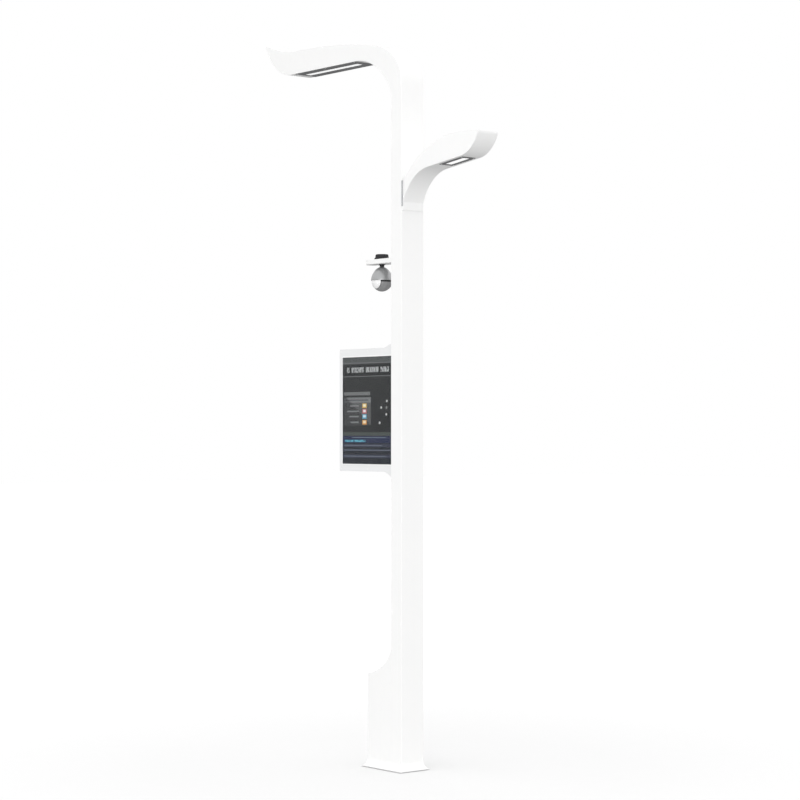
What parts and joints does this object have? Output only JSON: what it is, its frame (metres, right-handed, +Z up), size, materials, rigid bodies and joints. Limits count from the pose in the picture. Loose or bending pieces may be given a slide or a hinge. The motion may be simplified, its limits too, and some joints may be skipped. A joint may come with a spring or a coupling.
{
  "type": "ev charging lamp post",
  "caption": "Tall rectangular street post with two lamp arms, dome camera, two-sided display and a charging cabinet with outlet, flap and service door.",
  "frame": {"origin": "centre of the anchor bolt pattern on the underside of the base plate, at ground level", "axes": "+Z up along the column, +X towards the long upper arm, the display and the cabinet, -Y the user side with the outlet and the service door"},
  "size_m": [2.842, 0.317, 6.237],
  "materials": {
    "white_coat": "satin white powder coat",
    "bezel_coat": "satin pale powder coat",
    "galvanised_steel": "galvanised",
    "lamp_frame": "dark matt coat",
    "diffuser": "opal diffuser",
    "circuit_board": "solder mask",
    "led_chip": "phosphor",
    "bare_aluminium": "bare extruded",
    "driver_case": "die-cast",
    "camera_black": "black",
    "camera_hood_grey": "satin",
    "camera_white": "satin",
    "camera_ball_grey": "satin",
    "camera_glass": "coated",
    "screen_glass": "anti-glare",
    "screen_panel": "lit picture",
    "stainless": "stainless",
    "panel_plastic": "fine grain",
    "socket_plastic": "smooth",
    "status_light": "translucent",
    "reader_window": "smoked",
    "button_green": "smooth",
    "module_grey": "moulded",
    "cable_rubber": "sheath"
  },
  "bodies": {
    "pole": {"base_plate": "galvanised_steel", "base_skirt_front": "white_coat", "base_skirt_rear": "white_coat", "column_side_plate_front": "white_coat", "column_side_plate_rear": "white_coat", "column_back_plate": "white_coat", "column_face_plate": "white_coat", "column_access_plate": "white_coat", "arm_spigot": "galvanised_steel", "upper_arm_shell": "white_coat", "upper_led_bezel": "lamp_frame", "upper_led_lens": "diffuser", "branch_mount_plate": "galvanised_steel", "branch_arm_shell": "white_coat", "branch_led_bezel": "lamp_frame", "branch_led_lens": "diffuser", "led_boards": "circuit_board", "led_chips": "led_chip", "led_heatsinks": "bare_aluminium", "led_drivers": "driver_case", "camera_shelf": "white_coat", "camera_junction_box": "camera_black", "camera_neck": "camera_black", "camera_hood": "camera_hood_grey", "display_case": "white_coat", "display_bezel_front": "bezel_coat", "display_bezel_rear": "bezel_coat", "display_glass_front": "screen_glass", "display_glass_rear": "screen_glass", "display_lcd_front": "screen_panel", "display_lcd_rear": "screen_panel", "display_chassis": "galvanised_steel", "display_controller": "circuit_board", "display_power_supply": "driver_case", "cabinet_shell": "white_coat", "door_hinge_leaf_fixed": "stainless", "socket_panel": "panel_plastic", "socket_body": "socket_plastic", "status_ring": "status_light", "rfid_reader": "reader_window", "equipment_plate": "galvanised_steel", "circuit_breakers": "module_grey", "contactor": "panel_plastic", "energy_meter": "module_grey", "charge_controller": "module_grey", "terminal_block": "module_grey", "wiring_harness": "cable_rubber", "structural_bolts": "stainless", "cover_screws": "stainless"},
    "camera_head": {"camera_yoke": "camera_white", "camera_seal": "camera_black", "camera_tilt_pins": "stainless"},
    "camera_eye": {"camera_ball": "camera_ball_grey", "camera_lens": "camera_black", "camera_window": "camera_glass"},
    "door": {"cabinet_door": "white_coat", "door_hinge_leaf_moving": "stainless"},
    "lock": {"door_lock": "stainless"},
    "flap": {"socket_flap": "panel_plastic"},
    "button": {"start_button": "button_green"}
  },
  "joints": [
    {"name": "camera_pan", "type": "hinge", "parent": "pole", "child": "camera_head", "pos_m": [0.179, 0, 4.065], "axis": [0, 0, 1], "continuous": true},
    {"name": "camera_tilt", "type": "hinge", "parent": "camera_head", "child": "camera_eye", "pos_m": [0.179, 0, 4.065], "axis": [0, 1, 0], "range_deg": [-15, 50]},
    {"name": "door_hinge", "type": "hinge", "parent": "pole", "child": "door", "pos_m": [0.194, -0.1228, 0.34], "axis": [0, 0, 1], "range_deg": [0, 110]},
    {"name": "lock_turn", "type": "hinge", "parent": "door", "child": "lock", "pos_m": [-0.028, -0.1185, 0.34], "axis": [0, 1, 0], "range_deg": [0, 90]},
    {"name": "flap_hinge", "type": "hinge", "parent": "pole", "child": "flap", "pos_m": [0.04, -0.1266, 0.714], "axis": [-1, 0, 0], "range_deg": [0, 110], "stiffness_Nm_per_rad": 0.02, "springref_deg": -22.92},
    {"name": "button_press", "type": "slide", "parent": "pole", "child": "button", "axis": [0, 1, 0], "range_m": [0, 0.003], "stiffness_N_per_m": 500, "springref_m": -0.002}
  ]
}
